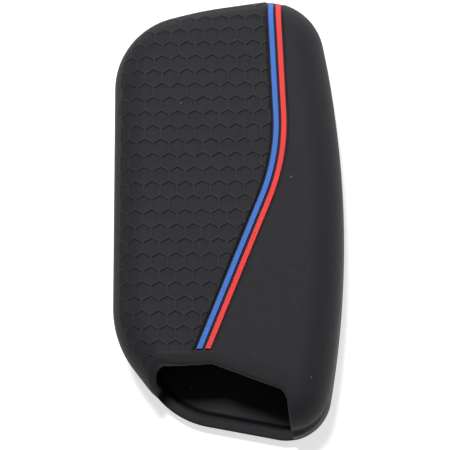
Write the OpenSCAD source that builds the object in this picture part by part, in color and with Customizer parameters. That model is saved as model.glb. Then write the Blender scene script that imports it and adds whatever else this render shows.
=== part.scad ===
// Slip-on silicone cover for a slim car key fob.
// It lies on its button face: X runs across the cover, Y along it with the mouth at -Y,
// and Z from the button face up to the honeycomb face.

/* [Cover] */
// Width across the cover, side to side
cover_w = 45.9; // [43:0.2:49]
// Length from the closed top to the lowest point of the mouth end
cover_l = 88; // [84:0.2:93]
// Thickness from the button face to the honeycomb face
cover_t = 18; // [16:0.5:21]
// Thickness of the silicone wall
wall = 2; // [1.6:0.1:2.6]
// Radius of the edge round the honeycomb face
back_edge_r = 7; // [6:0.25:7.5]
// Radius of the edge round the button face
front_edge_r = 3.8; // [3.2:0.1:4.6]

/* [Outline] */
// Radius of the top right corner, seen on the honeycomb face
top_right_r = 11.7; // [8.4:0.2:12]
// Reach of the slight bow along the top, as a share of its shorter side
top_bow_share = 0.21; // [0.1:0.01:0.4]
// Radius of the top left corner
top_left_r = 15; // [9:0.2:16]
// Radius of the bend where the left side starts to slant
low_side_r = 20; // [14:1:24]
// Radius of the lower left corner, below the mouth
low_left_r = 17.6; // [12:1:19]
// Radius of the lower right corner, under the closed leg
low_right_r = 9; // [8.4:0.2:10]
// Reach of the bow along the right side, as a share of its upper side
side_bow_share = 0.75; // [0.4:0.01:0.76]

/* [Mouth] */
// Height of the retaining lip that the fob snaps behind, above the button face
lip_h = 3.2; // [2.8:0.1:4.5]
// Rounding of the mouth's corners in the back wall
mouth_r = 1.8; // [0.6:0.1:2.4]

/* [Honeycomb] */
// Distance between the centres of neighbouring cells
cell_pitch = 3.3; // [2.8:0.1:4]
// Width of the ridge between two cells
ridge_w = 0.42; // [0.3:0.02:0.6]
// Depth of the cells below the surface of the cover
cell_depth = 0.35; // [0.25:0.05:0.6]
// Width of the rim that closes the cells round the edge of the field
field_rim = 0.3; // [0.2:0.05:0.6]
// Distance from the cover's side to the left edge of the field, in plan
field_side_margin = 1.8; // [1.4:0.1:3]
// Distance from the cover's top to the upper edge of the field, in plan
field_top_margin = 1; // [0.6:0.1:2]

/* [Stripes] */
// Width of each coloured stripe
stripe_w = 1; // [0.8:0.05:1.3]
// Width of the black gap between the two stripes
stripe_gap = 0.53; // [0.35:0.02:0.8]
// Width of the black gap either side of the stripes, to the wall of their channel
channel_rim = 0.38; // [0.25:0.02:0.6]
// Gap between the lower ends of the stripes and the end of their channel
channel_end = 0.25; // [0.15:0.05:0.5]
// Depth of the channel that the stripes stand in
channel_depth = 0.6; // [0.4:0.05:0.8]
// Distance from the surface of the cover down to the face of a stripe
stripe_sunk = 0.1; // [0:0.02:0.2]
// Radius of the bend of the stripes, at the left edge of the blue one
bend_r = 39; // [20:1:50]
// Lean of the stripes above the bend, in degrees
upper_lean = 3; // [0:0.1:6]
// Lean of the stripes below the bend, in degrees
lower_lean = 21.8; // [14:0.1:26]

/* [Buttons] */
// Length of a button pad across the cover
pad_l = 15; // [12:0.5:18]
// Width of a button pad along the cover
pad_w = 9; // [7:0.25:10]
// Distance between the middles of neighbouring pads
pad_pitch = 14.5; // [13:0.25:17]
// Distance from the rim of the button face in to the face of a pad
pad_set_back = 0.15; // [0.05:0.05:0.4]
// Rounding of a pad's outer edge
pad_edge_r = 0.7; // [0.3:0.05:1]
// Height by which a pad's inner face stands out of the wall, towards the fob
pad_nub = 0.4; // [0.2:0.05:0.6]
// Depth of the panel round the pads below the rim of the button face
panel_depth = 0.8; // [0.5:0.05:1]
// Margin of that panel round the pads
panel_margin = 3.4; // [2.4:0.1:4.5]
// Width of the flexing web round a pad
web_w = 1.2; // [0.9:0.05:1.5]
// Thickness of the flexing web
web_t = 0.5; // [0.35:0.05:0.6]
// Distance by which the web rises from the wall towards the face of the pad
web_rise = 0.9; // [0.6:0.05:1]

/* [Hidden] */
$fn = 96;

// Clearance between a filled or seated piece and its seat
seat_gap = 0.02;
// Clearance between a pad and its web, and between the web and the wall
web_gap = 0.05;
// Overrun of cuts past the faces that they go through
over = 5;

// Corners of the outline before rounding, anticlockwise from the top right one,
// as shares of the width and of the length
corner_shares = [
    [0.374, 0.514], [-0.108, 0.483], [-0.502, 0.435], [-0.487, -0.287],
    [-0.238, -0.454], [0.407, -0.517], [0.57, -0.008]
];
corners = [for (s = corner_shares) [s[0] * cover_w, s[1] * cover_l]];
sides = len(corners);
all_sides = [0 : sides - 1];

// Direction, length and outward angle of the side that starts at corner k
function run(k) = corners[(k + 1) % sides] - corners[k];
function side_dir(k) = run(k) / norm(run(k));
function side_angle(k) = atan2(run(k)[1], run(k)[0]) - 90;
function before(k) = (k + sides - 1) % sides;
function turn(k) = (side_angle(k) - side_angle(before(k)) + 720) % 360;
function bow_r(k, side, share) = share * norm(run(side)) / tan(turn(k) / 2);
corner_r = [
    top_right_r, bow_r(1, 1, top_bow_share), top_left_r, low_side_r,
    low_left_r, low_right_r, bow_r(6, 6, side_bow_share)
];
function tangent(k) = corner_r[k] * tan(turn(k) / 2);
function ray(angle) = [cos(angle), sin(angle)];
function raw_centre(k) =
    corners[k] - tangent(k) * side_dir(before(k)) - corner_r[k] * ray(side_angle(before(k)));

// The rounded outline reaches furthest at four of its arcs, and is centred on the origin
raw_left = raw_centre(2)[0] - corner_r[2];
raw_right = raw_centre(6)[0] + corner_r[6];
raw_top = raw_centre(0)[1] + corner_r[0];
raw_bottom = raw_centre(5)[1] - corner_r[5];
raw_mid = [(raw_left + raw_right) / 2, (raw_top + raw_bottom) / 2];
function centre(k) = raw_centre(k) - raw_mid;

// Flats on the rounded faces: how far a chord may cut inside its arc, and the flats of an edge
chord_error = 0.06;
back_steps = 7;
front_steps = 4;
// Height at which the stripes end on the side of the cover
skin_foot_z = cover_t / 2;

// Path of the stripes: the upper leg, the bend and the lower leg
bend_shares = [0.2193, 0.1178];
bend_corner = [bend_shares[0] * cover_w, bend_shares[1] * cover_l];
stripe_foot_share = 0.3135;
stripe_foot_y = -stripe_foot_share * cover_l;
bend_turn = upper_lean + lower_lean;
upper_dir = ray(90 + upper_lean);
lower_dir = ray(-90 - lower_lean);
bend_centre = bend_corner + bend_r * tan(bend_turn / 2) * upper_dir - bend_r * ray(upper_lean);
bend_steps = 10;

blue_at = 0;
red_at = stripe_w + stripe_gap;
channel_foot_y = stripe_foot_y - channel_end;

// The honeycomb field ends in a level edge, with a tongue down its left side
field_foot_share = 0.3216;
field_foot_y = -field_foot_share * cover_l;
tongue_shares = [[-0.276, -0.322], [-0.339, -0.363]];
cell_origin_shares = [-0.1294, 0.0121];
cell_origin = [cell_origin_shares[0] * cover_w, cell_origin_shares[1] * cover_l];
row_pitch = cell_pitch * sqrt(3) / 2;
cell_flats = cell_pitch - ridge_w;
cell_rows = ceil(cover_l / row_pitch / 2);
cell_cols = ceil(cover_w / cell_pitch);
smallest_cell = cell_pitch / 4;

// Corners of the mouth in the back wall, from the lower left round to the lower right,
// as shares of the width and of the length
mouth_shares = [
    [-0.312, -0.568], [-0.297, -0.412], [-0.271, -0.352], [-0.049, -0.345],
    [0.247, -0.402], [0.267, -0.423], [0.277, -0.483], [0.28, -0.625]
];

pad_r = pad_w / 2;
pad_half = pad_l / 2 - pad_r;
hole_r = pad_r + web_w;
pad_mid_share = 0.1018;
pad_mid_y = pad_mid_share * cover_l;
pad_y = [pad_mid_y + pad_pitch, pad_mid_y, pad_mid_y - pad_pitch];
panel_r = hole_r + panel_margin - web_w;
web_seat_z = wall - web_t;

silicone = "#323236";
grip_black = "#3a3a3f";
stripe_blue = "#487ad2";
stripe_red = "#f64848";

// Points of the rounded outline, drawn in by d
function arc_steps(k) = ceil(turn(k) / (2 * acos(1 - chord_error / corner_r[k])));
function outline(d) = [
    for (k = all_sides, i = [0 : arc_steps(k)])
        centre(k) + (corner_r[k] - d) * ray(side_angle(before(k)) + turn(k) * i / arc_steps(k))
];

// Solid through level rings that have as many points each
module loft(rings) {
    count = len(rings[0]);
    last = len(rings) - 1;
    points = [for (ring = rings, p = ring) p];
    walls = [
        for (r = [0 : last - 1], i = [0 : count - 1])
            let (j = (i + 1) % count)
                [r * count + i, (r + 1) * count + i, (r + 1) * count + j, r * count + j]
    ];
    base = [for (i = [0 : count - 1]) i];
    lid = [for (i = [count - 1 : -1 : 0]) last * count + i];
    polyhedron(points, concat([base, lid], walls));
}

// Levels of the rounded edges, as [inset from the outline, height]
function front_levels(d) = [
    for (i = [0 : front_steps])
        let (r = front_edge_r - d, a = 90 * i / front_steps)
            [d + r * (1 - sin(a)), d + r * (1 - cos(a))]
];
function back_levels(d) = [
    for (i = [0 : back_steps])
        let (r = back_edge_r - d, a = 90 * i / back_steps)
            [d + r * (1 - cos(a)), cover_t - back_edge_r + r * sin(a)]
];
function ring(level) = [for (p = outline(level[0])) [p[0], p[1], level[1]]];

// The rounded body of the cover, inset all round by d
module body(d) {
    loft([for (level = concat(front_levels(d), back_levels(d))) ring(level)]);
}

// The part of it that reaches up from the height start
module upper_body(d, start) {
    loft([for (level = concat([[d, start]], back_levels(d))) ring(level)]);
}

// Points along the stripe path, s to the right of the blue stripe's left edge
function stripe_edge(s) = concat(
    [bend_centre + (bend_r + s) * ray(upper_lean) + cover_l * upper_dir],
    [
        for (i = [0 : bend_steps])
            bend_centre + (bend_r + s) * ray(upper_lean - i * bend_turn / bend_steps)
    ],
    [bend_centre + (bend_r + s) * ray(-lower_lean) + cover_l * lower_dir]
);
function reversed(v) = [for (i = [len(v) - 1 : -1 : 0]) v[i]];

// Band along the stripe path from a to b, down to its level foot
module stripe_band(a, b, foot) {
    intersection() {
        polygon(concat(stripe_edge(a), reversed(stripe_edge(b))));
        translate([-cover_w, foot])
            square([2 * cover_w, cover_l]);
    }
}

// Upper half of the body between depths a and b, over a plan shape
module skin(a, b) {
    difference() {
        intersection() {
            upper_body(a, skin_foot_z - over);
            translate([0, 0, skin_foot_z])
                linear_extrude(cover_t)
                    children();
        }
        upper_body(b, skin_foot_z - over);
    }
}

// Cut from above into the upper half of the body, down to depth b, over a plan shape
module skin_cut(b) {
    difference() {
        translate([0, 0, skin_foot_z])
            linear_extrude(cover_t)
                children();
        upper_body(b, skin_foot_z - over);
    }
}

// Plan of the honeycomb field, drawn in by d
function field_margin(k, share) =
    k == 0 || k == 1 ? field_top_margin
    : k == 2 ? field_top_margin + (field_side_margin - field_top_margin) * share
    : field_side_margin;
module field_plan(d) {
    arcs = [
        for (k = all_sides, i = [0 : arc_steps(k)])
            let (share = i / arc_steps(k))
                centre(k) + (corner_r[k] - field_margin(k, share) - d)
                    * ray(side_angle(before(k)) + turn(k) * share)
    ];
    left_of_stripes = concat(
        stripe_edge(-channel_rim - d), [[-cover_w, -cover_l], [-cover_w, cover_l]]
    );
    foot = [
        [cover_w, field_foot_y + d],
        [tongue_shares[0][0] * cover_w - d, field_foot_y + d],
        [tongue_shares[1][0] * cover_w, tongue_shares[1][1] * cover_l + d],
        [-cover_w, tongue_shares[1][1] * cover_l + d],
        [-cover_w, cover_l], [cover_w, cover_l]
    ];
    intersection() {
        polygon(arcs);
        polygon(left_of_stripes);
        polygon(foot);
    }
}

// Whether a cell centred at p has a fair part inside the field
function left_of(p, a, n) = (p - bend_centre) * n < bend_r - channel_rim + a;
function inside(p, a) =
    left_of(p, a, ray(upper_lean)) && left_of(p, a, ray(-lower_lean))
    && p[1] > field_foot_y - a - (p[0] < tongue_shares[0][0] * cover_w ? cell_pitch : 0)
    && min([
        for (k = all_sides)
            (centre(k) - p) * ray(side_angle(k)) + corner_r[k] - field_margin(k, 1)
    ]) > -a;

module cells() {
    for (row = [-cell_rows : cell_rows], col = [-cell_cols : cell_cols]) {
        p = cell_origin + [cell_pitch * (col + (row % 2) / 2), row_pitch * row];
        if (inside(p, smallest_cell))
            translate(p)
                rotate([0, 0, 30])
                    circle(r = cell_flats / sqrt(3), $fn = 6);
    }
}

// Rounded oblong drawn out along X from a half section
module pill(half) {
    translate([half, 0, 0])
        rotate([0, 0, -90])
            rotate_extrude(angle = 180)
                children();
    translate([-half, 0, 0])
        rotate([0, 0, 90])
            rotate_extrude(angle = 180)
                children();
    translate([-half, 0, 0])
        rotate([90, 0, 90])
            linear_extrude(2 * half) {
                children();
                mirror([1, 0])
                    children();
            }
}

// Plan of the shallow panel round the pads
module panel_plan() {
    half_x = pad_half;
    top = pad_y[0];
    foot = pad_y[2];
    translate([-half_x, foot - panel_r])
        square([2 * half_x, top - foot + 2 * panel_r]);
    translate([-half_x - panel_r, foot])
        square([2 * (half_x + panel_r), top - foot]);
    for (x = [-half_x, half_x], y = [foot, top])
        translate([x, y])
            circle(r = panel_r);
}

module pad_hole(y) {
    translate([0, y, -over])
        pill(pad_half)
            square([hole_r, 2 * over + wall]);
}

module mouth_cut() {
    translate([0, 0, lip_h])
        linear_extrude(cover_t)
            offset(r = mouth_r)
                offset(delta = -mouth_r)
                    polygon([for (s = mouth_shares) [s[0] * cover_w, s[1] * cover_l]]);
}

module cover_shell() {
    color(silicone)
        difference() {
            body(0);
            body(wall);
            mouth_cut();
            translate([0, 0, -over])
                linear_extrude(over + panel_depth)
                    panel_plan();
            for (y = pad_y)
                pad_hole(y);
            skin_cut(cell_depth)
                field_plan(-seat_gap);
            skin_cut(channel_depth)
                stripe_band(-channel_rim, red_at + stripe_w + channel_rim, channel_foot_y);
        }
}

module honeycomb_grip() {
    color(grip_black)
        skin(0, cell_depth - seat_gap)
            difference() {
                field_plan(0);
                intersection() {
                    field_plan(field_rim);
                    cells();
                }
            }
}

module stripe(at) {
    skin(stripe_sunk, channel_depth - seat_gap)
        stripe_band(at, at + stripe_w, stripe_foot_y);
}

module blue_stripe() {
    color(stripe_blue)
        stripe(blue_at);
}

module red_stripe() {
    color(stripe_red)
        stripe(red_at);
}

module pad(y) {
    height = wall + pad_nub - pad_set_back;
    color(silicone)
        translate([0, y, pad_set_back])
            pill(pad_half) {
                square([pad_r - pad_edge_r, height]);
                translate([0, pad_edge_r])
                    square([pad_r, height - pad_edge_r]);
                intersection() {
                    translate([pad_r - pad_edge_r, pad_edge_r])
                        circle(r = pad_edge_r);
                    translate([pad_r - pad_edge_r, 0])
                        square(pad_edge_r);
                }
            }
}

module web(y) {
    near = pad_r + web_gap;
    far = hole_r - web_gap;
    color(silicone)
        translate([0, y, web_seat_z])
            pill(pad_half)
                polygon([[near, -web_rise], [far, 0], [far, web_t], [near, web_t - web_rise]]);
}

module lock_pad() {
    pad(pad_y[0]);
}

module unlock_pad() {
    pad(pad_y[1]);
}

module boot_pad() {
    pad(pad_y[2]);
}

module lock_web() {
    web(pad_y[0]);
}

module unlock_web() {
    web(pad_y[1]);
}

module boot_web() {
    web(pad_y[2]);
}

cover_shell();
honeycomb_grip();
blue_stripe();
red_stripe();
lock_pad();
unlock_pad();
boot_pad();
lock_web();
unlock_web();
boot_web();
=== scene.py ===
# Slip-on silicone cover for a slim car key fob, lying on its button face.
# Lengths in this file are millimetres, as in the part's source, and every mesh is made in metres.
import math

import bpy
import numpy as np
from mathutils import Matrix, Vector

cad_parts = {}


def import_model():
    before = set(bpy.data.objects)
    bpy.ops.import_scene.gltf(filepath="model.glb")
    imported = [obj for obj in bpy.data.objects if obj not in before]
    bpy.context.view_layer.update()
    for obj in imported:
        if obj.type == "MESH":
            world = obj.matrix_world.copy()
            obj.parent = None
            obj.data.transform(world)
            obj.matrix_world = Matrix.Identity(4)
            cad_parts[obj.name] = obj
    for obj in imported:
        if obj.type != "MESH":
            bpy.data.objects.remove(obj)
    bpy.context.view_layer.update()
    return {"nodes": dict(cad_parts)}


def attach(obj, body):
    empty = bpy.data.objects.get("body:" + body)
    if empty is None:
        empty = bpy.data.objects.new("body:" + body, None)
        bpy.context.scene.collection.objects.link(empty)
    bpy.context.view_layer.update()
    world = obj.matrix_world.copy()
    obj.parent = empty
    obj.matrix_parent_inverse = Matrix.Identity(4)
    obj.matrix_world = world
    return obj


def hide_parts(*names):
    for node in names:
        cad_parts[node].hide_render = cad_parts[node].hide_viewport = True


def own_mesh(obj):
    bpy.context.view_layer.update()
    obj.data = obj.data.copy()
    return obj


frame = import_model()

MM = 0.001

# Sizes of the cover, as its solids have them
COVER_W = 45.9
COVER_L = 88
COVER_T = 18
WALL = 2
BACK_R = 7
FRONT_R = 3.8
LIP_H = 3.2
MOUTH_R = 1.8
CORNER_SHARES = [
    (0.374, 0.514), (-0.108, 0.483), (-0.502, 0.435), (-0.487, -0.287),
    (-0.238, -0.454), (0.407, -0.517), (0.57, -0.008),
]
MOUTH_SHARES = [
    (-0.312, -0.568), (-0.297, -0.412), (-0.271, -0.352), (-0.049, -0.345),
    (0.247, -0.402), (0.267, -0.423), (0.277, -0.483), (0.28, -0.625),
]
TOP_RIGHT_R = 11.7
TOP_LEFT_R = 15
LOW_SIDE_R = 20
LOW_LEFT_R = 17.6
LOW_RIGHT_R = 9
TOP_BOW_SHARE = 0.21
SIDE_BOW_SHARE = 0.75

# Honeycomb
CELL_PITCH = 3.3
RIDGE_W = 0.42
CELL_DEPTH = 0.35
FIELD_RIM = 0.3
SIDE_MARGIN = 1.8
TOP_MARGIN = 1
FIELD_FOOT_SHARE = 0.3216
TONGUE_SHARES = [(-0.276, -0.322), (-0.339, -0.363)]
CELL_ORIGIN_SHARES = (-0.1294, 0.0121)

# Stripes
STRIPE_W = 1
STRIPE_GAP = 0.53
CHANNEL_RIM = 0.38
CHANNEL_END = 0.25
CHANNEL_DEPTH = 0.6
STRIPE_SUNK = 0.1
BEND_R = 39
UPPER_LEAN = 3
LOWER_LEAN = 21.8
BEND_SHARES = (0.2193, 0.1178)
STRIPE_FOOT_SHARE = 0.3135
SKIN_FOOT_Z = COVER_T / 2

# Buttons
PAD_R = 4.5
PAD_HALF = 3
PAD_PITCH = 14.5
PAD_MID_SHARE = 0.1018
HOLE_R = 5.7
PANEL_R = 7.9
PANEL_DEPTH = 0.8
PAD_FACE_Z = 0.15
PAD_BACK_Z = 2.4
PAD_EDGE_R = 0.7
WEB_RISE = 0.9
WEB_T = 0.5

# The smooth outline is drawn in by this much, so that it stays inside the faceted solids
DRAWN_IN = 0.04

SIZE = np.array([COVER_W, COVER_L])


# Outline in plan
def ray(angle):
    a = np.radians(angle)
    return np.array([np.cos(a), np.sin(a)])


CORNERS = np.array(CORNER_SHARES) * SIZE
RUNS = np.roll(CORNERS, -1, axis=0) - CORNERS
RUN_LENGTHS = np.hypot(RUNS[:, 0], RUNS[:, 1])
SIDE_ANGLES = np.degrees(np.arctan2(RUNS[:, 1], RUNS[:, 0])) - 90
BEFORE_ANGLES = np.roll(SIDE_ANGLES, 1)
TURNS = (SIDE_ANGLES - BEFORE_ANGLES) % 360
HALF_TANS = np.tan(np.radians(TURNS / 2))
RADII = np.array([
    TOP_RIGHT_R, TOP_BOW_SHARE * RUN_LENGTHS[1] / HALF_TANS[1], TOP_LEFT_R, LOW_SIDE_R,
    LOW_LEFT_R, LOW_RIGHT_R, SIDE_BOW_SHARE * RUN_LENGTHS[6] / HALF_TANS[6],
])
BEFORE_DIRS = np.roll(RUNS / RUN_LENGTHS[:, None], 1, axis=0)
RAW_CENTRES = (
    CORNERS - (RADII * HALF_TANS)[:, None] * BEFORE_DIRS - RADII[:, None] * ray(BEFORE_ANGLES).T
)
RAW_MID = np.array([
    RAW_CENTRES[2][0] - RADII[2] + RAW_CENTRES[6][0] + RADII[6],
    RAW_CENTRES[0][1] + RADII[0] + RAW_CENTRES[5][1] - RADII[5],
]) / 2
CENTRES = RAW_CENTRES - RAW_MID
SIDES = len(CORNERS)


def inset(x, y):
    """How far in from the outline a point of the plan lies."""
    best = np.full(np.broadcast(x, y).shape, np.inf)
    for k in range(SIDES):
        dx, dy = x - CENTRES[k][0], y - CENTRES[k][1]
        n = ray(SIDE_ANGLES[k])
        best = np.minimum(best, RADII[k] - dx * n[0] - dy * n[1])
        angle = (np.degrees(np.arctan2(dy, dx)) - BEFORE_ANGLES[k]) % 360
        best = np.minimum(best, np.where(angle <= TURNS[k], RADII[k] - np.hypot(dx, dy), np.inf))
    return best


def outward(x, y, h=0.01):
    """Direction in plan straight out to the outline."""
    gx = inset(x - h, y) - inset(x + h, y)
    gy = inset(x, y - h) - inset(x, y + h)
    size = np.maximum(np.hypot(gx, gy), 1e-9)
    return gx / size, gy / size


def rounded(u, v):
    """Distance to a corner of two faces whose outsides are u > 0 and v > 0."""
    return np.minimum(np.maximum(u, v), 0) + np.hypot(np.maximum(u, 0), np.maximum(v, 0))


def body_distance(e, z):
    """Signed distance to the cover's outer surface, from the inset e in plan and the height z."""
    back = rounded(BACK_R - e, z - (COVER_T - BACK_R)) - BACK_R + DRAWN_IN
    front = rounded(FRONT_R - e, FRONT_R - z) - FRONT_R
    return np.maximum(back, front)


def smooth_step(t, start, end):
    t = np.clip((t - start) / (end - start), 0, 1)
    return t * t * (3 - 2 * t)


def smooth_max(a, b, k):
    h = np.maximum(k - np.abs(a - b), 0) / k
    return np.maximum(a, b) + h * h * k / 4


def polygon_distance(x, y, points):
    """Signed distance to a polygon in plan, negative inside."""
    d = np.inf
    odd = False
    for a, b in zip(points, np.roll(points, -1, axis=0)):
        run = b - a
        wx, wy = x - a[0], y - a[1]
        t = np.clip((wx * run[0] + wy * run[1]) / (run @ run), 0, 1)
        d = np.minimum(d, np.hypot(wx - t * run[0], wy - t * run[1]))
        if a[1] != b[1]:
            crossed = ((a[1] > y) != (b[1] > y)) & (x < a[0] + run[0] * (y - a[1]) / run[1])
            odd = odd ^ crossed
    return np.where(odd, -d, d)


def drawn_in(points, d):
    """A clockwise convex polygon with each side moved in by d."""
    count = len(points)
    lines = []
    for k in range(count):
        run = points[(k + 1) % count] - points[k]
        run = run / np.hypot(*run)
        normal = np.array([run[1], -run[0]])
        lines.append((normal, normal @ points[k] + d))
    made = []
    for k in range(count):
        (n0, c0), (n1, c1) = lines[k - 1], lines[k]
        made.append(np.linalg.solve(np.array([n0, n1]), np.array([c0, c1])))
    return np.array(made)


MOUTH = drawn_in(np.array(MOUTH_SHARES) * SIZE, MOUTH_R)
# The back dips towards the mouth: from a crease on the left, and more softly on the right
CREASE_W, CREASE_DIP, CREASE_BOW = 1.95, 0.26, 0.12
SOFT_W, SOFT_DIP = 4.2, 0.4
# It also falls off towards the end of the leg beside the mouth
LEG_W, LEG_DIP = 15, 1.3
# Across the cover, the left dip passes into the right one over these places, and the leg's sets in
RIGHT_OVER = (-5, 5)
LEG_OVER = (8, 15)
# A dip goes on growing a little beyond the mouth's edge, up to this share
DIP_MOST = 1.2


def mouth_dip(x, y):
    """Depth by which the back is lowered near the mouth."""
    away = polygon_distance(x, y, MOUTH) - MOUTH_R
    near = np.clip(1 - away / CREASE_W, 0, DIP_MOST)
    wide = np.clip(1 - away / SOFT_W, 0, DIP_MOST)
    right = smooth_step(x, *RIGHT_OVER)
    n = ray(SIDE_ANGLES[4])
    from_end = RADII[4] - (x - CENTRES[4][0]) * n[0] - (y - CENTRES[4][1]) * n[1]
    leg = smooth_step(x, *LEG_OVER) * LEG_DIP * np.clip(1 - from_end / LEG_W, 0, 1) ** 2
    creased = (1 - right) * (CREASE_DIP * near + CREASE_BOW * near * near)
    return creased + right * SOFT_DIP * wide * wide + leg


# Path of the stripes, with s to the right of the blue stripe's left edge
BEND_CORNER = np.array(BEND_SHARES) * SIZE
BEND_TURN = UPPER_LEAN + LOWER_LEAN
UPPER_DIR = ray(90 + UPPER_LEAN)
LOWER_DIR = ray(-90 - LOWER_LEAN)
BEND_CENTRE = (
    BEND_CORNER + BEND_R * math.tan(math.radians(BEND_TURN / 2)) * UPPER_DIR - BEND_R * ray(UPPER_LEAN)
)
STRIPE_FOOT_Y = -STRIPE_FOOT_SHARE * COVER_L
RED_AT = STRIPE_W + STRIPE_GAP
CHANNEL = (-CHANNEL_RIM, RED_AT + STRIPE_W + CHANNEL_RIM)
CHANNEL_FOOT_Y = STRIPE_FOOT_Y - CHANNEL_END


def stripe_offset(x, y):
    """Signed distance to the right of the blue stripe's left edge."""
    dx, dy = x - BEND_CENTRE[0], y - BEND_CENTRE[1]
    up, low = ray(UPPER_LEAN), ray(-LOWER_LEAN)
    lines = np.maximum(dx * up[0] + dy * up[1], dx * low[0] + dy * low[1])
    angle = np.degrees(np.arctan2(dy, dx))
    bend = (angle <= UPPER_LEAN) & (angle >= -LOWER_LEAN)
    return np.where(bend, np.hypot(dx, dy), lines) - BEND_R


# Plan of the honeycomb field
FOOT_Y = -FIELD_FOOT_SHARE * COVER_L
TONGUE = np.array(TONGUE_SHARES) * SIZE
CELL_ORIGIN = np.array(CELL_ORIGIN_SHARES) * SIZE
ROW_PITCH = CELL_PITCH * math.sqrt(3) / 2


def field_margin(k, share):
    if k < 2:
        return TOP_MARGIN
    if k == 2:
        return TOP_MARGIN + (SIDE_MARGIN - TOP_MARGIN) * share
    return SIDE_MARGIN


def field_side(x, y):
    """How far inside the field's rounded border a point lies."""
    best = np.full(np.broadcast(x, y).shape, np.inf)
    for k in range(SIDES):
        dx, dy = x - CENTRES[k][0], y - CENTRES[k][1]
        n = ray(SIDE_ANGLES[k])
        best = np.minimum(best, RADII[k] - field_margin(k, 1) - dx * n[0] - dy * n[1])
        share = (np.degrees(np.arctan2(dy, dx)) - BEFORE_ANGLES[k]) % 360 / TURNS[k]
        margin = field_margin(k, np.clip(share, 0, 1))
        best = np.minimum(
            best, np.where(share <= 1, RADII[k] - margin - np.hypot(dx, dy), np.inf)
        )
    return best


def field_foot(x, y):
    """How far above the field's level foot and its tongue a point lies."""
    start = np.array([TONGUE[0][0], FOOT_Y])
    run = TONGUE[1] - start
    run = run / np.hypot(*run)
    beside = (x - start[0]) * run[1] - (y - start[1]) * run[0]
    return np.maximum(y - FOOT_Y, np.minimum(beside, y - TONGUE[1][1]))


def field_inside(x, y):
    border = np.minimum(field_side(x, y), field_foot(x, y))
    return np.minimum(border, -stripe_offset(x, y) - CHANNEL_RIM)


def cell_open(px, py):
    """Whether the cell centred there is part of the pattern."""
    reach = CELL_PITCH / 4
    dx, dy = px - BEND_CENTRE[0], py - BEND_CENTRE[1]
    up, low = ray(UPPER_LEAN), ray(-LOWER_LEAN)
    limit = BEND_R - CHANNEL_RIM + reach
    left = (dx * up[0] + dy * up[1] < limit) & (dx * low[0] + dy * low[1] < limit)
    foot = py > FOOT_Y - reach - np.where(px < TONGUE[0][0], CELL_PITCH, 0)
    side = np.full(px.shape, np.inf)
    for k in range(SIDES):
        n = ray(SIDE_ANGLES[k])
        reached = (CENTRES[k][0] - px) * n[0] + (CENTRES[k][1] - py) * n[1]
        side = np.minimum(side, reached + RADII[k] - field_margin(k, 1))
    return left & foot & (side > -reach)


def nearest_cell(x, y):
    """Middle of the cell that a point lies in, and how far from it the point reaches towards a side."""
    row = np.round((y - CELL_ORIGIN[1]) / ROW_PITCH)
    best = np.full(x.shape, np.inf)
    mid_x, mid_y = x, y
    for step in (-1, 0, 1):
        r = row + step
        shift = (r % 2) / 2
        col = np.round((x - CELL_ORIGIN[0]) / CELL_PITCH - shift)
        px = CELL_ORIGIN[0] + CELL_PITCH * (col + shift)
        py = CELL_ORIGIN[1] + ROW_PITCH * r
        dx, dy = x - px, y - py
        reach = np.abs(dx)
        for angle in (60, 120):
            n = ray(angle)
            reach = np.maximum(reach, np.abs(dx * n[0] + dy * n[1]))
        nearer = reach < best
        best = np.where(nearer, reach, best)
        mid_x, mid_y = np.where(nearer, px, mid_x), np.where(nearer, py, mid_y)
    return mid_x, mid_y, best


def cell_inside(mid_x, mid_y, reach):
    """How far inside its cell's edge a point lies, negative on a ridge."""
    return np.where(cell_open(mid_x, mid_y), CELL_PITCH / 2 - reach - RIDGE_W / 2, -CELL_PITCH)


# Soft moulded edges: where the wall of a cell starts and ends, either side of the cell's edge
CELL_SOFT = (-0.022, 0.016)
BORDER_SOFT = (-0.05, 0.05)
# The cells get shallower by this share between these two places, as distances out from the field's
# border, which are negative inside it
CELL_FADE = 0.6
CELL_FADE_OVER = (-3.4, -1)
CHANNEL_SOFT = (-0.13, 0.04)
# A skin stands proud of the shell by this much, and sinks into it along its border
PROUD = 0.012
SUNK = 0.18
SINK_W = 0.1


def sinking(t):
    """Depth of a skin by the distance in from its own border."""
    return SUNK - (SUNK + PROUD) * smooth_step(t, 0, SINK_W)


def upper_point(x, y, depth):
    """Point of the cover's upper surface over the plan, at a depth below it."""
    depth = depth + DRAWN_IN + mouth_dip(x, y)
    e = inset(x, y)
    gx, gy = outward(x, y)
    lean = np.clip((BACK_R - e) / BACK_R, 0, 1)
    rise = np.sqrt(1 - lean * lean)
    z = COVER_T - BACK_R + BACK_R * rise
    return np.stack([x - depth * lean * gx, y - depth * lean * gy, z - depth * rise], axis=-1)


# Meshes
def blank(name, points, faces, normals=None):
    """Object with a mesh of equal-sided faces, from points in millimetres."""
    points = np.asarray(points, float) * MM
    faces = np.asarray(faces, np.int32)
    mesh = bpy.data.meshes.new(name)
    mesh.vertices.add(len(points))
    mesh.vertices.foreach_set("co", points.astype(np.float32).ravel())
    sides = faces.shape[1]
    mesh.loops.add(faces.size)
    mesh.loops.foreach_set("vertex_index", faces.ravel())
    mesh.polygons.add(len(faces))
    mesh.polygons.foreach_set("loop_start", np.arange(0, faces.size, sides, dtype=np.int32))
    mesh.update(calc_edges=True)
    mesh.validate()
    mesh.polygons.foreach_set("use_smooth", [True] * len(mesh.polygons))
    if normals is not None:
        mesh.normals_split_custom_set_from_vertices(np.asarray(normals, float).tolist())
    obj = bpy.data.objects.new(name, mesh)
    bpy.context.scene.collection.objects.link(obj)
    return obj


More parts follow.
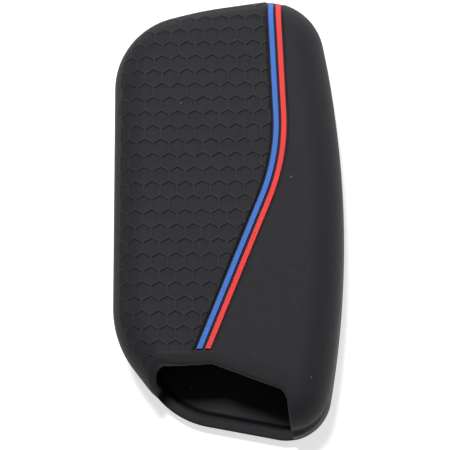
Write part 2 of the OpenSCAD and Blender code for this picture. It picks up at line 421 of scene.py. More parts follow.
CUBE = [(i, j, k) for i in (0, 1) for j in (0, 1) for k in (0, 1)]
CUBE_EDGES = [
    (a, b) for a in CUBE for b in CUBE
    if sum(b) - sum(a) == 1 and sum(abs(p - q) for p, q in zip(a, b)) == 1
]


def slope(field, p, h):
    g = np.zeros_like(p)
    for i in range(3):
        step = np.zeros(3)
        step[i] = h
        ahead, behind = p + step, p - step
        g[:, i] = (field(*ahead.T) - field(*behind.T)) / (2 * h)
    return g


def spaced(*runs):
    """Places along an axis: each run is its start, its end and its spacing."""
    parts = []
    for start, end, step in runs:
        count = max(int(math.ceil((end - start) / step)), 1)
        parts.append(np.linspace(start, end, count, endpoint=False))
    return np.append(np.concatenate(parts), runs[-1][1])


# How often the points are drawn to the surface, and the least slope that is taken for it
PULLS = 4
LEAST_SLOPE = 0.2


def surface(field, axes):
    """Points, four-sided faces and normals of the surface where field is zero."""
    step = max(np.diff(a).min() for a in axes)
    v = field(axes[0][:, None, None], axes[1][None, :, None], axes[2][None, None, :])
    inside = v < 0
    size = np.array(v.shape) - 1

    def shifted(a, c):
        return a[c[0]:c[0] + size[0], c[1]:c[1] + size[1], c[2]:c[2] + size[2]]

    count = sum(shifted(inside, c).astype(np.int8) for c in CUBE)
    active = (count > 0) & (count < 8)
    index = np.full(size, -1, np.int64)
    cells = np.argwhere(active)
    index[active] = np.arange(len(cells))
    total = np.zeros((len(cells), 3))
    hits = np.zeros(len(cells))
    for a, b in CUBE_EDGES:
        va = v[tuple((cells + a).T)]
        vb = v[tuple((cells + b).T)]
        crossed = (va < 0) != (vb < 0)
        t = np.where(crossed, va / np.where(crossed, va - vb, 1), 0)
        spot = np.array(a) + t[:, None] * (np.array(b) - np.array(a))
        total += np.where(crossed[:, None], spot, 0)
        hits += crossed
    spots = cells + total / hits[:, None]
    points = np.stack([
        np.interp(spot, np.arange(len(axis)), axis) for spot, axis in zip(spots.T, axes)
    ], axis=1)
    faces = []
    for axis in range(3):
        u, w = (axis + 1) % 3, (axis + 2) % 3
        cut = [slice(None)] * 3
        cut[axis] = slice(0, -1)
        near = inside[tuple(cut)]
        cut[axis] = slice(1, None)
        far = inside[tuple(cut)]
        for flip, pick in ((False, near & ~far), (True, far & ~near)):
            at = np.argwhere(pick)
            at = at[(at[:, u] > 0) & (at[:, w] > 0) & (at[:, u] < size[u]) & (at[:, w] < size[w])]
            eu, ew = np.eye(3, dtype=int)[u], np.eye(3, dtype=int)[w]
            ring = [at - eu - ew, at - ew, at, at - eu]
            if flip:
                ring = ring[::-1]
            faces.append(np.stack([index[tuple(r.T)] for r in ring], axis=1))
    faces = np.concatenate(faces)
    faces = faces[(faces >= 0).all(axis=1)]
    h = step / 20
    for _ in range(PULLS):
        g = slope(field, points, h)
        move = field(*points.T) / np.maximum((g * g).sum(axis=1), LEAST_SLOPE)
        move = np.clip(move, -step / 2, step / 2)
        points = points - move[:, None] * g
    g = slope(field, points, h * 2)
    g /= np.maximum(np.linalg.norm(g, axis=1), 1e-6)[:, None]
    return points, faces, g


# Shell: outer and inner surface, mouth, panel, button holes and the bed of the skins
# The bed is shallow along its border and gets deeper inwards. It starts inside the honeycomb's border
# and reaches out past the channel's
BED_DEPTH = 0.85
BED_EDGE = 0.22
BED_SLOPE = 2
BED_IN = 0.25
BED_OUT = 0.28
EDGE_SOFT = 0.5
MOUTH_FILLET = 0.5
GROOVE_SOFT = 0.3
HOLE_SOFT = 0.4
# Groove along the foot of the lip, inside the mouth: a steep near wall and a sloping far one
GROOVE_START = 2.3
GROOVE_FLAT = 0.35
GROOVE_SLOPE = 1.8
GROOVE_Z = 0.95
GROOVE_ROOF_Z = 2.6
GROOVE_TOP_Y = -30
# The left cut face of the mouth leans outwards
FLARE = 0.95
FLARE_DEPTH = 2.4
FLARE_OVER = (-13.5, -8)
FLARE_MOST = 1.1
PAD_MID_Y = PAD_MID_SHARE * COVER_L
PAD_YS = [PAD_MID_Y + PAD_PITCH, PAD_MID_Y, PAD_MID_Y - PAD_PITCH]


def oblong(x, y, half, half_y=0.0):
    return np.hypot(np.maximum(np.abs(x) - half, 0), np.maximum(np.abs(y) - half_y, 0))


def shell_field(x, y, z):
    e = inset(x, y)
    outer = body_distance(e, z)
    body = outer + mouth_dip(x, y) * smooth_step(z, COVER_T / 2, COVER_T - BACK_R)
    d = np.maximum(body, -(outer + WALL))
    near_top = np.clip(1 + body / FLARE_DEPTH, 0, FLARE_MOST)
    flare = FLARE * near_top * (1 - smooth_step(x, *FLARE_OVER))
    mouth = smooth_max(polygon_distance(x, y, MOUTH) - MOUTH_R - flare, LIP_H - z, MOUTH_FILLET)
    d = smooth_max(d, -mouth, EDGE_SOFT)
    panel = oblong(x, y - PAD_MID_Y, PAD_HALF, PAD_PITCH) - PANEL_R
    d = smooth_max(d, -np.maximum(panel, z - PANEL_DEPTH), EDGE_SOFT)
    floor_z = GROOVE_Z + GROOVE_SLOPE * np.maximum(e - GROOVE_START - GROOVE_FLAT, 0)
    groove = np.maximum(GROOVE_START - e, np.maximum((floor_z - z) / 2, z - GROOVE_ROOF_Z))
    d = smooth_max(d, -np.maximum(groove, y - GROOVE_TOP_Y), GROOVE_SOFT)
    for py in PAD_YS:
        hole = np.maximum(oblong(x, y - py, PAD_HALF) - HOLE_R, z - COVER_T / 2)
        d = smooth_max(d, -hole, HOLE_SOFT)
    s = stripe_offset(x, y)
    cells = np.minimum(np.minimum(field_side(x, y), field_foot(x, y)) - BED_IN, -s)
    band = np.minimum(np.minimum(s - CHANNEL[0], CHANNEL[1] - s), y - CHANNEL_FOOT_Y) + BED_OUT
    within = np.maximum(cells, band)
    deep = np.clip(BED_EDGE + BED_SLOPE * within, BED_EDGE, BED_DEPTH)
    bed = np.maximum(-within, -(body + deep))
    bed = np.maximum(bed, SKIN_FOOT_Z - z)
    return np.maximum(d, -bed)


# The grid is finer round the mouth and at the front wall
GRID_STEP = 0.5
FINE_STEP = 0.28
MARGIN = 1.3
MOUTH_FINE_Y = -28.5
FRONT_FINE_Z = 3.6
shell_points, shell_faces, shell_normals = surface(shell_field, [
    spaced((-COVER_W / 2 - MARGIN, COVER_W / 2 + MARGIN, GRID_STEP)),
    spaced(
        (-COVER_L / 2 - MARGIN, MOUTH_FINE_Y, FINE_STEP),
        (MOUTH_FINE_Y, COVER_L / 2 + MARGIN, GRID_STEP),
    ),
    spaced((-MARGIN, FRONT_FINE_Z, FINE_STEP), (FRONT_FINE_Z, COVER_T + MARGIN, GRID_STEP)),
])
shell = blank("cover_sleeve", shell_points, shell_faces, normals=shell_normals)


# Honeycomb skin: a lattice of triangles whose lines lie along the ridges
# Reach of each of its lines in half a cell: they are crowded where the cell's wall is
LINES = np.concatenate([np.linspace(0, 1.36, 8), [1.405, 1.424, 1.463, 1.488, 1.65]])
# The skin reaches past the field's border by this much, and the lattice past the cover by these lines
FIELD_OUT = 0.45
SPARE_LINES = 30
# Where the honeycomb skin meets the bed of the stripes, and how far each reaches past it
SEAM = CHANNEL_RIM + 0.16
SEAM_OVER = 0.08


def honeycomb():
    h = CELL_PITCH / 2 / (len(LINES) - 1)
    edge = 2 * h / math.sqrt(3)
    cols = int(COVER_W / h / 2) + SPARE_LINES
    rows = int(COVER_L / edge / 2) + SPARE_LINES
    i, j = np.meshgrid(np.arange(-cols, cols + 1), np.arange(-rows, rows + 1), indexing="ij")
    x = CELL_ORIGIN[0] + h * i
    y = CELL_ORIGIN[1] + edge * (j + (i % 2) / 2)
    mid_x, mid_y, reach = nearest_cell(x, y)
    crowded = np.interp(reach, h * np.arange(len(LINES)), LINES)
    share = crowded / np.maximum(reach, h / 2)
    x, y = mid_x + (x - mid_x) * share, mid_y + (y - mid_y) * share
    inside = field_inside(x, y)
    outer = np.minimum(field_side(x, y), field_foot(x, y)) + FIELD_OUT
    beside = -stripe_offset(x, y) - SEAM + SEAM_OVER
    border = np.minimum(outer, beside)
    keep = border > 0
    within = cell_inside(mid_x, mid_y, crowded)
    sunk = smooth_step(within, *CELL_SOFT) * smooth_step(inside - FIELD_RIM, *BORDER_SOFT)
    fading = 1 - CELL_FADE * smooth_step(-field_side(x, y), *CELL_FADE_OVER)
    index = np.full(x.shape, -1)
    index[keep] = np.arange(keep.sum())
    faces = []
    # Two neighbours of a column with one of the next, and one of a column with two of the next
    odd = (i[:-1, :-1] % 2) == 1
    a, b = index[:-1, :-1], index[:-1, 1:]
    c, d = index[1:, :-1], index[1:, 1:]
    faces.append(np.stack([a, np.where(odd, d, c), b], axis=-1))
    faces.append(np.stack([np.where(odd, a, b), c, d], axis=-1))
    faces = np.concatenate([f.reshape(-1, 3) for f in faces])
    faces = faces[(faces >= 0).all(axis=1)]
    # The outermost points meet the shell below its surface, wherever the lattice ends
    sides = np.sort(np.concatenate([faces[:, :2], faces[:, 1:], faces[:, ::2]]), axis=1)
    sides, uses = np.unique(sides, axis=0, return_counts=True)
    rim = np.zeros(keep.sum(), bool)
    rim[np.unique(sides[uses == 1])] = True
    under = np.where(rim & (outer < beside)[keep], SUNK, sinking(border[keep]))
    points = upper_point(x[keep], y[keep], under + (CELL_DEPTH * sunk * fading)[keep])
    obj = blank("honeycomb_skin", points, faces)
    # This attribute marks the ridges' crests, which the material paints with a highlight
    painted_crest_highlight = obj.data.attributes.new("painted_crest_highlight", "FLOAT", "POINT")
    painted_crest_highlight.data.foreach_set("value", (1 - sunk[keep]).astype(np.float32))
    return obj


grip = honeycomb()


# Stripe bed and stripes: strips along the path, over the top rounding and down the end
# Inset at which the honeycomb skin ends over the top rounding, and turns of the rounding near it
SKIN_END = TOP_MARGIN - FIELD_OUT + SINK_W
MEETING = np.arcsin(1 - (SKIN_END + np.array([0.12, 0.08, 0.04, 0])) / BACK_R) / (np.pi / 2)
# Rows on each stretch of the path
STRETCHES = (("lower", 50), ("bend", 24), ("upper", 34))
ROUND_STEPS = 28
# Heights of the rows between the rounding and the stripes' ends
END_ZS = [10.6, 10.0, 9.5, 9.2]


def path_rows(feet, ends):
    """Rows along the path, each with its stretch and its place along that."""
    rows = [("foot", level) for level in feet]
    for kind, steps in STRETCHES:
        rows += [(kind, t) for t in np.linspace(0, 1, steps + 1)[1:]]
    rises = np.concatenate([np.linspace(0, 1, ROUND_STEPS + 1)[1:], MEETING])
    rows += [("round", t) for t in np.sort(rises)]
    return rows + [("end", z) for z in END_ZS + ends]


def along(s, tau):
    """Plan point on the upper leg, a length tau above the bend."""
    start = BEND_CENTRE + (BEND_R + s)[..., None] * ray(UPPER_LEAN)
    return start + tau[..., None] * UPPER_DIR


HALVINGS = 45
LEAST_INSET = 1e-4
# Stands for the distance to an end of the stripes that is nowhere near
FAR_OFF = 50.0


def leg_length(s, e):
    """Length up the upper leg at which the inset has come down to e."""
    low = np.zeros_like(s)
    high = np.full_like(s, COVER_L)
    for _ in range(HALVINGS):
        mid = (low + high) / 2
        p = along(s, mid)
        wide = inset(p[..., 0], p[..., 1]) > e
        low, high = np.where(wide, mid, low), np.where(wide, high, mid)
    return low


def place(rows, s, depth_of):
    """Grid of points over rows and offsets; depth_of gives the depth from s and the ends' distances."""
    grid = []
    flat_tau = leg_length(s, BACK_R)
    edge_tau = leg_length(s, LEAST_INSET)
    last_foot = max(t for kind, t in rows if kind == "foot")
    for kind, t in rows:
        foot_gap = end_gap = np.full_like(s, FAR_OFF)
        z = np.full_like(s, float(COVER_T))
        lean = np.zeros_like(s)
        level_e = BACK_R
        if kind in ("foot", "lower"):
            bend = BEND_CENTRE + (BEND_R + s)[:, None] * ray(-LOWER_LEAN)
            level = STRIPE_FOOT_Y + (t if kind == "foot" else last_foot)
            reach = (bend[:, 1] - level) / -LOWER_DIR[1]
            low = bend + reach[:, None] * LOWER_DIR
            p = low if kind == "foot" else low + t * (bend - low)
            foot_gap = p[:, 1] - STRIPE_FOOT_Y
        elif kind == "bend":
            a = -LOWER_LEAN + t * BEND_TURN
            p = BEND_CENTRE + (BEND_R + s)[:, None] * ray(a)
        elif kind == "upper":
            p = along(s, t * flat_tau)
        elif kind == "round":
            angle = t * math.pi / 2
            lean = np.full_like(s, math.sin(angle))
            level_e = BACK_R * (1 - math.sin(angle))
            p = along(s, leg_length(s, np.full_like(s, max(level_e, LEAST_INSET))))
            z = COVER_T - BACK_R + BACK_R * np.sqrt(1 - lean * lean)
        else:
            lean = np.ones_like(s)
            level_e = 0
            p = along(s, edge_tau)
            z = np.full_like(s, float(t))
            end_gap = z - SKIN_FOOT_Z
        gx, gy = outward(p[:, 0], p[:, 1])
        gx, gy = gx * lean, gy * lean
        rise = np.sqrt(1 - lean * lean)
        depth = depth_of(s, foot_gap, end_gap, level_e) + DRAWN_IN + mouth_dip(p[:, 0], p[:, 1])
        grid.append(np.stack([
            p[:, 0] - depth * gx, p[:, 1] - depth * gy, z - depth * rise
        ], axis=-1))
    return np.array(grid)


def grid_faces(rows, cols):
    made = []
    for r in range(rows - 1):
        for c in range(cols - 1):
            at = r * cols + c
            made.append((at, at + 1, at + cols + 1, at + cols))
    return made


BED_SIDE = 0.75
BED_END = 0.6
# The bed's left margin lies this deep below the honeycomb skin, and widens where that ends
HIDDEN = 0.6
BED_WIDE = 0.72
BARE_W = 0.12
# The channel gets shallower over the top rounding, so that the outline stays whole there
TOP_SHALLOW = 0.72
TOP_SHALLOW_OVER = (2.6, 5.2)


def bed_depth(s, foot_gap, end_gap, level_e):
    right = CHANNEL[1] + BED_SIDE - s
    border = np.minimum(right, np.minimum(foot_gap + CHANNEL_END + BED_SIDE, end_gap + BED_END))
    left = s + SEAM + SEAM_OVER
    wide = s - CHANNEL[0] + BED_WIDE + SINK_W
    bare = smooth_step(SKIN_END + BARE_W - level_e, 0, BARE_W)
    under = np.where(left < 0, HIDDEN, sinking(np.minimum(border, left)))
    sunk = under * (1 - bare) + sinking(np.minimum(border, wide)) * bare
    within = np.minimum(s - CHANNEL[0], CHANNEL[1] - s)
    within = np.minimum(within, np.minimum(foot_gap + CHANNEL_END, end_gap))
    shallow = 1 - TOP_SHALLOW * smooth_step(BACK_R - level_e, *TOP_SHALLOW_OVER)
    return sunk + CHANNEL_DEPTH * shallow * smooth_step(within, *CHANNEL_SOFT)


# Columns across the bed and rows at its ends, crowded at its borders and at the channel's walls
wall_steps = np.array([-0.13, -0.10, -0.07, -0.045, -0.02, 0.005, 0.04])
bed_s = [CHANNEL[0] - BED_WIDE - SINK_W + d for d in (0, 0.05, SINK_W, 0.25, 0.4, 0.5)]
bed_s += [-SEAM - SEAM_OVER + d for d in (-0.04, 0, 0.02, 0.04, 0.06, 0.08, SINK_W)]
bed_s += list(CHANNEL[0] + wall_steps)
bed_s += list(np.linspace(CHANNEL[0] + 0.2, CHANNEL[1] - 0.2, 13))
bed_s += list(CHANNEL[1] - wall_steps[::-1])
border_steps = (BED_SIDE - SINK_W - 0.02, BED_SIDE - SINK_W, BED_SIDE - SINK_W / 2, BED_SIDE)
bed_s += [CHANNEL[1] + d for d in (0.25, 0.45) + border_steps]
bed_s = np.array(bed_s)
assert (np.diff(bed_s) > 0).all()
foot_steps = [-d for d in border_steps[::-1]] + [-0.4, -0.2] + list(wall_steps) + [0.2, 0.6]
foot_steps = [d - CHANNEL_END for d in foot_steps]
end_steps = [SKIN_FOOT_Z + d for d in wall_steps[::-1]] + [8.8, 8.6, 8.5, 8.45, 8.4]
bed_rows = path_rows(foot_steps, end_steps)
bed_grid = place(bed_rows, bed_s, bed_depth)
bed = blank("stripe_bed", bed_grid.reshape(-1, 3), grid_faces(len(bed_rows), len(bed_s)))

# A stripe's face has soft edges and a slight dip along its middle
STRIPE_EDGE = 0.07
STRIPE_DIP = 0.02
END_EDGE = 0.08
# A stripe's sides reach this far into the channel's floor, and so does what lies this near its ends
STRIPE_ROOT = 0.06
AT_END = 0.0005


def eased(t):
    """Drop of a rounded edge, as a share, by the share of the way in from it."""
    t = np.clip(t, 0, 1)
    return 1 - np.sqrt(1 - (1 - t) ** 2)


def stripe(name, at):
    """A raised rib of coloured silicone that stands in the channel."""
    left, right = at, at + STRIPE_W
    across = np.concatenate([
        [left, left, left + 0.01, left + 0.03, left + STRIPE_EDGE],
        np.linspace(left, right, 7)[1:-1],
        [right - STRIPE_EDGE, right - 0.03, right - 0.01, right, right],
    ])
    middle = (left + right) / 2
    half = (right - left) / 2
    from_edge = half - np.abs(across - middle)
    depth = STRIPE_SUNK + STRIPE_EDGE * eased(from_edge / STRIPE_EDGE)
    depth += STRIPE_DIP * (1 - ((across - middle) / half) ** 2)
    foot_depth = CHANNEL_DEPTH + STRIPE_ROOT
    depth[0] = depth[-1] = foot_depth

    def depth_of(s, foot_gap, end_gap, level_e):
        gap = np.minimum(foot_gap, end_gap)
        return np.where(gap < AT_END, foot_depth, depth + END_EDGE * eased(gap / END_EDGE))

    feet = [0, 0.001, 0.012, 0.035, END_EDGE, 0.3, 0.6]
    rows = path_rows(feet, [SKIN_FOOT_Z + g for g in feet[4::-1]])
    grid = place(rows, across, depth_of)
    return blank(name, grid.reshape(-1, 3), grid_faces(len(rows), len(across)))


blue = stripe("stripe_fill_blue", 0)
red = stripe("stripe_fill_red", RED_AT)


# Buttons: crowned pads with plain moulded signs, and the webs round them
PAD_CROWN = 0.2
PAD_FACE_IN = 0.07
PAD_BACK_SOFT = 0.3
SIGN_RISE = 0.16
SIGN_SOFT = (-0.05, 0.12)
SIGN_LINE = 0.21
CAR_LINE = SIGN_LINE * 0.85
ARC_STEPS = 12


def line_distance(x, y, a, b):
    ax, ay = a
    rx, ry = b[0] - ax, b[1] - ay
    t = np.clip(((x - ax) * rx + (y - ay) * ry) / (rx * rx + ry * ry), 0, 1)
    return np.hypot(x - ax - t * rx, y - ay - t * ry)


def path_distance(x, y, points):
    d = np.inf
    for a, b in zip(points[:-1], points[1:]):
        d = np.minimum(d, line_distance(x, y, a, b))
    return d


def arc_points(cx, cy, r, start, end):
    angles = np.radians(np.linspace(start, end, ARC_STEPS))
    return [(cx + r * math.cos(a), cy + r * math.sin(a)) for a in angles]


# A padlock's block, with its half sizes less the rounding, and its keyhole with a slot below it
BLOCK_Y, BLOCK_HALF_W, BLOCK_HALF_H, BLOCK_R = -1.0, 1.15, 0.75, 0.3
KEYHOLE_Y, KEYHOLE_R = -0.85, 0.32
SLOT, SLOT_R = ((0, -0.95), (0, -1.35)), 0.16


def padlock(x, y, shackle):
    """Body of a padlock as a rounded block with a keyhole, and its shackle as a line."""
    block = oblong(x, y - BLOCK_Y, BLOCK_HALF_W, BLOCK_HALF_H) - BLOCK_R
    keyhole = np.hypot(x, y - KEYHOLE_Y) - KEYHOLE_R
    keyhole = np.minimum(keyhole, line_distance(x, y, *SLOT) - SLOT_R)
    return np.minimum(np.maximum(block, -keyhole), path_distance(x, y, shackle) - SIGN_LINE)


CLOSED = [(-0.95, 0.0)] + arc_points(0, 0.75, 0.95, 180, 0) + [(0.95, 0.0)]
OPEN = [(0.95, 0.0)] + arc_points(1.9, 1.05, 0.95, 180, 10)
CAR = [
    (-2.9, -0.95), (-2.95, 0.05), (-1.9, 0.35), (-1.0, 1.15), (0.75, 1.15), (1.55, 0.4),
    (2.85, 0.25), (2.95, -0.95),
]
BOOT_LID = [(-1.9, 0.35), (-3.1, 1.35)]
SILL_Y = -0.95
SILLS = ((-2.9, -2.27), (-1.03, 1.03), (2.27, 2.95))
WHEEL_XS = (-1.65, 1.65)
WHEEL_R = 0.62


def car(x, y):
    d = path_distance(x, y, CAR)
    d = np.minimum(d, path_distance(x, y, BOOT_LID))
    for wheel in WHEEL_XS:
        d = np.minimum(d, np.abs(np.hypot(x - wheel, y - SILL_Y) - WHEEL_R))
    for start, end in SILLS:
        d = np.minimum(d, line_distance(x, y, (start, SILL_Y), (end, SILL_Y)))
    return d - CAR_LINE


SIGNS = {
    "lock": lambda x, y: padlock(x, y, CLOSED),
    "unlock": lambda x, y: padlock(x, y, OPEN),
    "boot": car,
}


def pad_field(sign):
    def field(x, y, z):
        rim = oblong(x, y, PAD_HALF) - PAD_R
        crown = PAD_FACE_Z + PAD_FACE_IN + PAD_CROWN * np.clip((rim + PAD_R) / PAD_R, 0, 1) ** 2
        mark = sign(x, y)
        face = crown - SIGN_RISE * (1 - smooth_step(mark, *SIGN_SOFT))
        d = rounded(rim + PAD_EDGE_R, face + PAD_EDGE_R - z) - PAD_EDGE_R
        return smooth_max(d, z - PAD_BACK_Z, PAD_BACK_SOFT)
    return field


PAD_STEP = 0.13
PAD_AROUND = 0.4


def pad(name, sign, y):
    reach = PAD_R + PAD_AROUND
    points, faces, normals = surface(pad_field(SIGNS[sign]), [
        spaced((-PAD_HALF - reach, PAD_HALF + reach, PAD_STEP)),
        spaced((-reach, reach, PAD_STEP)),
        spaced((-PAD_AROUND, PAD_BACK_Z + PAD_AROUND, PAD_STEP)),
    ])
    points[:, 1] += y
    return blank(name, points, faces, normals=normals)


WEB_NEAR = 4.46
WEB_FAR = 5.76
WEB_STEPS = 9
WEB_ROUND_STEPS = 33


def web(name, y):
    """Thin curved skirt that joins a pad to the wall round it."""
    t = np.linspace(0, 1, WEB_STEPS)
    r = WEB_NEAR + (WEB_FAR - WEB_NEAR) * t
    rise = WEB_RISE * smooth_step(t, 0, 1)
    low = WALL - WEB_T - WEB_RISE + rise
    section = list(zip(r, low)) + list(zip(r[::-1], low[::-1] + WEB_T))
    ring = []
    for side in (1, -1):
        for a in np.linspace(-90, 90, WEB_ROUND_STEPS):
            ring.append((side, math.radians(a)))
    points = []
    for side, a in ring:
        for radius, z in section:
            points.append((
                side * (PAD_HALF + radius * math.cos(a)), y + side * radius * math.sin(a), z
            ))
    cols = len(section)
    faces = []
    for k in range(len(ring)):
        n = (k + 1) % len(ring)
        for c in range(cols):
            m = (c + 1) % cols
            faces.append((k * cols + c, n * cols + c, n * cols + m, k * cols + m))
    return blank(name, points, np.array(faces)[:, ::-1])


BUTTONS = [("lock", PAD_YS[0]), ("unlock", PAD_YS[1]), ("boot", PAD_YS[2])]
pads, webs = [], []
for sign, y in BUTTONS:
    pads.append(pad("button_" + sign, sign, y))
    webs.append(web("web_" + sign, y))


# Materials
def nodes_of(material):
    material.use_nodes = True
    tree = material.node_tree
    tree.nodes.clear()
    out = tree.nodes.new("ShaderNodeOutputMaterial")
    shader = tree.nodes.new("ShaderNodeBsdfPrincipled")
    tree.links.new(shader.outputs[0], out.inputs["Surface"])
    return tree, shader


def noise(tree, coords, scale, detail):
    n = tree.nodes.new("ShaderNodeTexNoise")
    n.inputs["Scale"].default_value = scale
    n.inputs["Detail"].default_value = detail
    n.inputs["Roughness"].default_value = 0.5
    tree.links.new(coords, n.inputs["Vector"])
    return n.outputs["Fac"]


def ramp(tree, value, stops):
    r = tree.nodes.new("ShaderNodeValToRGB")
    while len(r.color_ramp.elements) < len(stops):
        r.color_ramp.elements.new(0.5)
    for element, (at, colour) in zip(r.color_ramp.elements, stops):
        element.position = at
        element.color = (*colour, 1)
    tree.links.new(value, r.inputs[0])
    return r.outputs[0]


def calc(tree, kind, a, b):
    m = tree.nodes.new("ShaderNodeMath")
    m.operation = kind
    for socket, value in zip(m.inputs, (a, b)):
        if isinstance(value, (int, float)):
            socket.default_value = value
        else:
            tree.links.new(value, socket)
    return m.outputs[0]


def mix(tree, factor, a, b):
    m = tree.nodes.new("ShaderNodeMix")
    m.data_type = "RGBA"
    for socket, value in ((m.inputs[0], factor), (m.inputs[6], a), (m.inputs[7], b)):
        if isinstance(value, (int, float)):
            socket.default_value = value
        elif isinstance(value, tuple):
            socket.default_value = (*value, 1)
        else:
            tree.links.new(value, socket)
    return m.outputs[2]


# Silicone: scales of its noises, shares of the mottling, its roughness and its specks of dust
WIDE_SCALE, FINE_SCALE, TINY_SCALE = 60, 900, 6000
WIDE_SHARE, FINE_SHARE = 0.6, 0.4
MOTTLE_OVER = (0.35, 0.65)
ROUGH = (0.67, 0.74)
DUST_SCALE, DUST_R, DUST_SHARE = 140, 0.022, 0.35
DUST_COLOUR = (0.35, 0.35, 0.34)


def rubber(name, dark, light, grain=0.02, painted_crest_highlight=None, dust=True):
    """Matt moulded silicone: faint mottling, fine grain, a soft sheen and a few specks of dust, and
    where asked a painted highlight on the ridges' crests.
    """
    material = bpy.data.materials.new(name)
    tree, shader = nodes_of(material)
    coords = tree.nodes.new("ShaderNodeTexCoord").outputs["Object"]
    wide = noise(tree, coords, WIDE_SCALE, 3)
    fine = noise(tree, coords, FINE_SCALE, 3)
    tiny = noise(tree, coords, TINY_SCALE, 2)
    wide_part = calc(tree, "MULTIPLY", wide, WIDE_SHARE)
    mottled = calc(tree, "ADD", wide_part, calc(tree, "MULTIPLY", fine, FINE_SHARE))
    colour = ramp(tree, mottled, [(MOTTLE_OVER[0], dark), (MOTTLE_OVER[1], light)])
    # Painted highlight: the ridges' crests are made paler than the rest of the skin
    if painted_crest_highlight:
        attribute = tree.nodes.new("ShaderNodeAttribute")
        attribute.attribute_name = "painted_crest_highlight"
        fac = calc(tree, "MULTIPLY", attribute.outputs["Fac"], painted_crest_highlight[0])
        colour = mix(tree, fac, colour, painted_crest_highlight[1])
    if dust:
        cells = tree.nodes.new("ShaderNodeTexVoronoi")
        cells.inputs["Scale"].default_value = DUST_SCALE
        tree.links.new(coords, cells.inputs["Vector"])
        near = calc(tree, "LESS_THAN", cells.outputs["Distance"], DUST_R)
        colour = mix(tree, calc(tree, "MULTIPLY", near, DUST_SHARE), colour, DUST_COLOUR)
    tree.links.new(colour, shader.inputs["Base Color"])
    spread = ROUGH[1] - ROUGH[0]
    roughness = calc(tree, "ADD", calc(tree, "MULTIPLY", fine, spread * 2), ROUGH[0] - spread / 2)
    tree.links.new(roughness, shader.inputs["Roughness"])
    bump = tree.nodes.new("ShaderNodeBump")
    bump.inputs["Strength"].default_value = 1
    bump.inputs["Distance"].default_value = grain * MM
    tree.links.new(calc(tree, "ADD", tiny, fine), bump.inputs["Height"])
    tree.links.new(bump.outputs[0], shader.inputs["Normal"])
    shader.inputs["Specular IOR Level"].default_value = 0.35
    shader.inputs["IOR"].default_value = 1.43
    shader.inputs["Sheen Weight"].default_value = 0.03
    shader.inputs["Sheen Roughness"].default_value = 0.5
    return material


BLACK_DARK, BLACK_LIGHT = (0.0170, 0.0163, 0.0197), (0.0187, 0.0180, 0.0215)
black = rubber("silicone_black", BLACK_DARK, BLACK_LIGHT)
COMB_DARK, COMB_LIGHT = (0.0178, 0.0173, 0.0207), (0.0200, 0.0194, 0.0230)
# The ridges' crests get a painted highlight: their colour goes by this share towards this paler colour
RIDGE_PAINTED_HIGHLIGHT = (0.4, (0.029, 0.029, 0.033))
comb = rubber("silicone_black_honeycomb", COMB_DARK, COMB_LIGHT, painted_crest_highlight=RIDGE_PAINTED_HIGHLIGHT)
pad_black = rubber("silicone_black_button", BLACK_DARK, BLACK_LIGHT, dust=False)
BLUE_DARK, BLUE_LIGHT = (0.060, 0.185, 0.62), (0.070, 0.205, 0.67)
RED_DARK, RED_LIGHT = (0.90, 0.055, 0.055), (0.94, 0.065, 0.062)
STRIPE_GRAIN = 0.012
blue_fill = rubber("silicone_blue", BLUE_DARK, BLUE_LIGHT, grain=STRIPE_GRAIN, dust=False)
red_fill = rubber("silicone_red", RED_DARK, RED_LIGHT, grain=STRIPE_GRAIN, dust=False)


def dress(obj, material, slot, body, *replaced):
    obj.data.materials.clear()
    obj.data.materials.append(material)
    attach(obj, body)
    if replaced:
        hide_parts(*replaced)


dress(shell, black, "silicone", "cover", "cover_shell")
dress(bed, black, "silicone", "cover")
dress(grip, comb, "grip", "cover", "honeycomb_grip")
dress(blue, blue_fill, "stripe_blue", "cover", "blue_stripe")
dress(red, red_fill, "stripe_red", "cover", "red_stripe")
for (sign, y), button, skirt in zip(BUTTONS, pads, webs):
    dress(button, pad_black, "pad", sign + "_button", sign + "_pad")
    dress(skirt, pad_black, "web", "cover", sign + "_web")
    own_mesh(skirt)

# Each carried-over solid stays for collision and gets its finish too
CARRIED = {"honeycomb_grip": comb, "blue_stripe": blue_fill, "red_stripe": red_fill}
for name, node in frame["nodes"].items():
    finish = CARRIED.get(name, black)
    for at in range(max(len(node.data.materials), 1)):
        if node.data.materials:
            node.data.materials[at] = finish
        else:
            node.data.materials.append(finish)


# Floor, light and camera
FLOOR_HALF = 1.5
# The floor lies this far below the cover, and glows by this much where it is seen
FLOOR_DROP = 0.00002
FLOOR_GLOW = 0.65
WORLD_LEVEL = 0.12


def floor():
    """Pale plain floor that keeps the shadow and looks white to the camera and to mirror rays."""
    mesh = bpy.data.meshes.new("floor")
    corners = [(x * FLOOR_HALF, y * FLOOR_HALF, 0) for x, y in ((-1, -1), (1, -1), (1, 1), (-1, 1))]
    mesh.from_pydata(corners, [], [(0, 1, 2, 3)])
    obj = bpy.data.objects.new("floor", mesh)
    obj.location.z = -FLOOR_DROP
    bpy.context.scene.collection.objects.link(obj)
    material = bpy.data.materials.new("floor_white")
    tree, shader = nodes_of(material)
    shader.inputs["Base Color"].default_value = (0.80, 0.80, 0.80, 1)
    shader.inputs["Roughness"].default_value = 0.9
    shader.inputs["Specular IOR Level"].default_value = 0
    light = tree.nodes.new("ShaderNodeEmission")
    path = tree.nodes.new("ShaderNodeLightPath")
    seen = calc(tree, "MAXIMUM", path.outputs["Is Camera Ray"], path.outputs["Is Glossy Ray"])
    seen = calc(tree, "MAXIMUM", seen, path.outputs["Is Transmission Ray"])
    tree.links.new(calc(tree, "MULTIPLY", seen, FLOOR_GLOW), light.inputs["Strength"])
    add = tree.nodes.new("ShaderNodeAddShader")
    out = [n for n in tree.nodes if n.type == "OUTPUT_MATERIAL"][0]
    tree.links.new(shader.outputs[0], add.inputs[0])
    tree.links.new(light.outputs[0], add.inputs[1])
    tree.links.new(add.outputs[0], out.inputs["Surface"])
    mesh.materials.append(material)


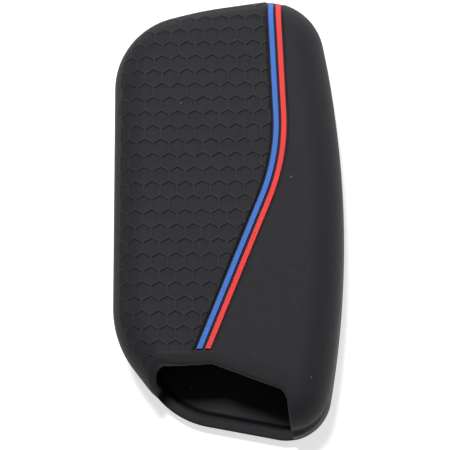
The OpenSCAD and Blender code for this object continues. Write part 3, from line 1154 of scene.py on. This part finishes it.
def world():
    """Plain surroundings: full white where the camera looks past the floor, a plain level as light."""
    made = bpy.data.worlds.new("studio")
    bpy.context.scene.world = made
    made.use_nodes = True
    tree = made.node_tree
    back = tree.nodes["Background"]
    back.inputs["Color"].default_value = (1, 1, 1, 1)
    path = tree.nodes.new("ShaderNodeLightPath")
    seen = calc(tree, "MAXIMUM", path.outputs["Is Camera Ray"], path.outputs["Is Transmission Ray"])
    extra = calc(tree, "MULTIPLY", seen, 1 - WORLD_LEVEL)
    tree.links.new(calc(tree, "ADD", extra, WORLD_LEVEL), back.inputs["Strength"])


def lamp(name, spot, aim, size, power):
    data = bpy.data.lights.new(name, "AREA")
    data.shape = "RECTANGLE"
    data.size, data.size_y = size
    data.energy = power
    obj = bpy.data.objects.new(name, data)
    bpy.context.scene.collection.objects.link(obj)
    spot, aim = Vector(spot), Vector(aim)
    obj.location = spot
    obj.rotation_euler = (aim - spot).to_track_quat("-Z", "Y").to_euler()


floor()
world()
lamp("key_overhead", (-0.05, 0.255, 0.75), (0, 0, 0.01), (0.12, 0.12), 4.85)
lamp("rim_top", (0.05, 0.75, 0.16), (0, 0, 0.01), (0.6, 0.25), 1.3)
lamp("rim_right", (0.62, 0.40, 0.18), (0, 0, 0.01), (0.3, 0.25), 0.9)

CAMERA_AT = (32.656, -77.494, 358.17)
CAMERA_RIGHT = (0.99560959, 0.00699149, -0.09334169)
CAMERA_UP = (0.01297378, 0.97727414, 0.21158196)
CAMERA_BACK = (0.09269969, -0.21186402, 0.9728928)
FOCAL_PIXELS = 1800
PICTURE_PIXELS = 450
SENSOR = 36.0

camera = bpy.data.cameras.new("photo_camera")
camera.sensor_width = SENSOR
camera.lens = SENSOR * FOCAL_PIXELS / PICTURE_PIXELS
camera.clip_start = 0.01
camera.clip_end = 20
eye = bpy.data.objects.new("photo_camera", camera)
bpy.context.scene.collection.objects.link(eye)
turned = Matrix((CAMERA_RIGHT, CAMERA_UP, CAMERA_BACK)).transposed().to_4x4()
eye.matrix_world = Matrix.Translation([c * MM for c in CAMERA_AT]) @ turned
bpy.context.scene.camera = eye
bpy.context.scene.view_settings.view_transform = "Standard"
